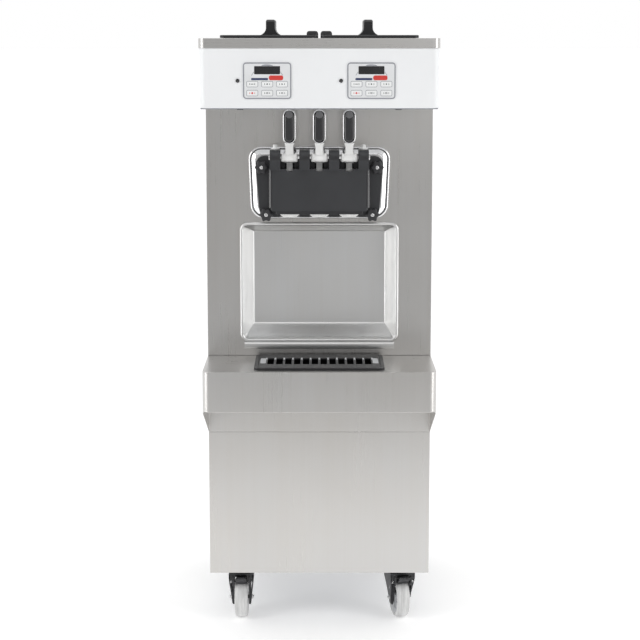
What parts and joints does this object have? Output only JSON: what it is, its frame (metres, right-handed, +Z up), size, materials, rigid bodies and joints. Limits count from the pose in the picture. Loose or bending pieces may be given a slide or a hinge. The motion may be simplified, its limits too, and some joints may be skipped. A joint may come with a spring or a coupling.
{
  "type": "soft serve machine",
  "caption": "Floor-standing soft serve machine with lidded hoppers, draw handles on a bolted freezer door, a recessed splash panel, a drip shelf and swivel casters.",
  "frame": {"origin": "on the floor, under the middle of the machine's overall box", "axes": "+Z up, the longest side; +X to the machine's right as a customer sees it, the shortest side; the front faces -Y"},
  "size_m": [0.544, 0.816, 1.487],
  "materials": {
    "brushed_stainless": "vertical brushed grain, satin",
    "polished_stainless": "polished",
    "white_cover": "smooth white paint, semi gloss",
    "overlay": "satin printed membrane",
    "dark_door": "moulded, satin",
    "black_plastic": "moulded, satin",
    "black_grip": "glossy black grip",
    "white_plastic": "moulded, satin",
    "black_enamel": "black coating",
    "grey_rubber": "light grey tread",
    "galvanised": "dull zinc"
  },
  "bodies": {
    "cabinet": {"side_panel_left": "brushed_stainless", "side_panel_right": "brushed_stainless", "rear_panel": "brushed_stainless", "upper_front_panel": "brushed_stainless", "lower_front_panel": "brushed_stainless", "drip_shelf": "brushed_stainless", "splash_panel": "brushed_stainless", "top_deck": "brushed_stainless", "face_plate": "polished_stainless", "hopper_left": "polished_stainless", "hopper_right": "polished_stainless", "feed_tube_left": "polished_stainless", "feed_tube_right": "polished_stainless", "freezing_cylinder_left": "polished_stainless", "freezing_cylinder_right": "polished_stainless", "pivot_pin": "polished_stainless", "head_cover": "white_cover", "control_panel_left": "overlay", "control_panel_right": "overlay", "freezer_door": "dark_door", "indicator_lamp_left": "black_plastic", "indicator_lamp_right": "black_plastic", "cable_gland": "black_plastic", "star_nozzle_left": "white_plastic", "star_nozzle_centre": "white_plastic", "star_nozzle_right": "white_plastic", "compressor": "black_enamel", "gear_motor_left": "black_enamel", "gear_motor_right": "black_enamel", "base_frame": "galvanised", "condenser": "galvanised"},
    "handle_left": {"draw_handle_left": "black_grip"},
    "valve_left": {"draw_valve_left": "white_plastic"},
    "handle_centre": {"draw_handle_centre": "black_grip"},
    "valve_centre": {"draw_valve_centre": "white_plastic"},
    "handle_right": {"draw_handle_right": "black_grip"},
    "valve_right": {"draw_valve_right": "white_plastic"},
    "screw_top_left": {"hand_screw_top_left": "black_plastic"},
    "screw_top_right": {"hand_screw_top_right": "black_plastic"},
    "screw_bottom_left": {"hand_screw_bottom_left": "black_plastic"},
    "screw_bottom_right": {"hand_screw_bottom_right": "black_plastic"},
    "plug_left": {"prime_plug_left": "white_plastic"},
    "plug_right": {"prime_plug_right": "white_plastic"},
    "lid_left": {"hopper_lid_left": "black_plastic"},
    "lid_right": {"hopper_lid_right": "black_plastic"},
    "tray": {"drip_tray": "black_plastic"},
    "grille": {"drip_grille": "black_plastic"},
    "beater_left": {"beater_left": "white_plastic"},
    "beater_right": {"beater_right": "white_plastic"},
    "fan": {"condenser_fan": "black_plastic"},
    "fork_front_left": {"caster_fork_front_left": "black_enamel"},
    "wheel_front_left": {"caster_wheel_front_left": "grey_rubber"},
    "pedal_front_left": {"brake_pedal_front_left": "black_enamel"},
    "fork_front_right": {"caster_fork_front_right": "black_enamel"},
    "wheel_front_right": {"caster_wheel_front_right": "grey_rubber"},
    "pedal_front_right": {"brake_pedal_front_right": "black_enamel"},
    "fork_rear_left": {"caster_fork_rear_left": "black_enamel"},
    "wheel_rear_left": {"caster_wheel_rear_left": "grey_rubber"},
    "fork_rear_right": {"caster_fork_rear_right": "black_enamel"},
    "wheel_rear_right": {"caster_wheel_rear_right": "grey_rubber"}
  },
  "joints": [
    {"name": "draw_handle_left_pull", "type": "hinge", "parent": "cabinet", "child": "handle_left", "pos_m": [-0.07, -0.268, 1.163], "axis": [1, 0, 0], "range_deg": [0, 50]},
    {"name": "draw_valve_left_lift", "type": "slide", "parent": "cabinet", "child": "valve_left", "axis": [0, 0, 1], "range_m": [0, 0.0185]},
    {"name": "draw_handle_centre_pull", "type": "hinge", "parent": "cabinet", "child": "handle_centre", "pos_m": [0, -0.268, 1.163], "axis": [1, 0, 0], "range_deg": [0, 50]},
    {"name": "draw_valve_centre_lift", "type": "slide", "parent": "cabinet", "child": "valve_centre", "axis": [0, 0, 1], "range_m": [0, 0.0185]},
    {"name": "draw_handle_right_pull", "type": "hinge", "parent": "cabinet", "child": "handle_right", "pos_m": [0.07, -0.268, 1.163], "axis": [1, 0, 0], "range_deg": [0, 50]},
    {"name": "draw_valve_right_lift", "type": "slide", "parent": "cabinet", "child": "valve_right", "axis": [0, 0, 1], "range_m": [0, 0.0185]},
    {"name": "hand_screw_top_left_turn", "type": "hinge", "parent": "cabinet", "child": "screw_top_left", "pos_m": [-0.136, -0.2373, 1.139], "axis": [0, -1, 0], "continuous": true},
    {"name": "hand_screw_top_right_turn", "type": "hinge", "parent": "cabinet", "child": "screw_top_right", "pos_m": [0.136, -0.2373, 1.139], "axis": [0, -1, 0], "continuous": true},
    {"name": "hand_screw_bottom_left_turn", "type": "hinge", "parent": "cabinet", "child": "screw_bottom_left", "pos_m": [-0.1255, -0.2373, 1.027], "axis": [0, -1, 0], "continuous": true},
    {"name": "hand_screw_bottom_right_turn", "type": "hinge", "parent": "cabinet", "child": "screw_bottom_right", "pos_m": [0.1255, -0.2373, 1.027], "axis": [0, -1, 0], "continuous": true},
    {"name": "prime_plug_left_lift", "type": "slide", "parent": "cabinet", "child": "plug_left", "axis": [0, 0, 1], "range_m": [0, 0.01]},
    {"name": "prime_plug_right_lift", "type": "slide", "parent": "cabinet", "child": "plug_right", "axis": [0, 0, 1], "range_m": [0, 0.01]},
    {"name": "hopper_lid_left_lift", "type": "slide", "parent": "cabinet", "child": "lid_left", "axis": [0, 0, 1], "range_m": [0, 0.15]},
    {"name": "hopper_lid_right_lift", "type": "slide", "parent": "cabinet", "child": "lid_right", "axis": [0, 0, 1], "range_m": [0, 0.15]},
    {"name": "drip_tray_lift", "type": "slide", "parent": "cabinet", "child": "tray", "axis": [0, 0, 1], "range_m": [0, 0.06]},
    {"name": "drip_grille_lift", "type": "slide", "parent": "tray", "child": "grille", "axis": [0, 0, 1], "range_m": [0, 0.04]},
    {"name": "beater_left_spin", "type": "hinge", "parent": "cabinet", "child": "beater_left", "pos_m": [-0.085, 0, 1.1], "axis": [0, -1, 0], "continuous": true},
    {"name": "beater_right_spin", "type": "hinge", "parent": "cabinet", "child": "beater_right", "pos_m": [0.085, 0, 1.1], "axis": [0, -1, 0], "continuous": true},
    {"name": "condenser_fan_spin", "type": "hinge", "parent": "cabinet", "child": "fan", "pos_m": [0.095, 0.278, 0.3], "axis": [0, -1, 0], "continuous": true},
    {"name": "caster_front_left_swivel", "type": "hinge", "parent": "cabinet", "child": "fork_front_left", "pos_m": [-0.195, -0.098, 0.115], "axis": [0, 0, 1], "continuous": true},
    {"name": "caster_front_left_roll", "type": "hinge", "parent": "fork_front_left", "child": "wheel_front_left", "pos_m": [-0.195, -0.128, 0.05], "axis": [1, 0, 0], "continuous": true},
    {"name": "brake_pedal_front_left_press", "type": "hinge", "parent": "fork_front_left", "child": "pedal_front_left", "pos_m": [-0.195, -0.158, 0.098], "axis": [1, 0, 0], "range_deg": [0, 12]},
    {"name": "caster_front_right_swivel", "type": "hinge", "parent": "cabinet", "child": "fork_front_right", "pos_m": [0.195, -0.098, 0.115], "axis": [0, 0, 1], "continuous": true},
    {"name": "caster_front_right_roll", "type": "hinge", "parent": "fork_front_right", "child": "wheel_front_right", "pos_m": [0.20124, -0.12734, 0.05], "axis": [0.9781, 0.2079, 0], "continuous": true},
    {"name": "brake_pedal_front_right_press", "type": "hinge", "parent": "fork_front_right", "child": "pedal_front_right", "pos_m": [0.20747, -0.15669, 0.098], "axis": [0.9781, 0.2079, 0], "range_deg": [0, 12]},
    {"name": "caster_rear_left_swivel", "type": "hinge", "parent": "cabinet", "child": "fork_rear_left", "pos_m": [-0.195, 0.32, 0.115], "axis": [0, 0, 1], "continuous": true},
    {"name": "caster_rear_left_roll", "type": "hinge", "parent": "fork_rear_left", "child": "wheel_rear_left", "pos_m": [-0.195, 0.29, 0.05], "axis": [1, 0, 0], "continuous": true},
    {"name": "caster_rear_right_swivel", "type": "hinge", "parent": "cabinet", "child": "fork_rear_right", "pos_m": [0.195, 0.32, 0.115], "axis": [0, 0, 1], "continuous": true},
    {"name": "caster_rear_right_roll", "type": "hinge", "parent": "fork_rear_right", "child": "wheel_rear_right", "pos_m": [0.195, 0.29, 0.05], "axis": [1, 0, 0], "continuous": true}
  ],
  "couplings": [
    {"joint": "draw_valve_left_lift", "follows": "draw_handle_left_pull", "m_per_rad": 0.0205},
    {"joint": "draw_valve_centre_lift", "follows": "draw_handle_centre_pull", "m_per_rad": 0.0205},
    {"joint": "draw_valve_right_lift", "follows": "draw_handle_right_pull", "m_per_rad": 0.0205}
  ]
}
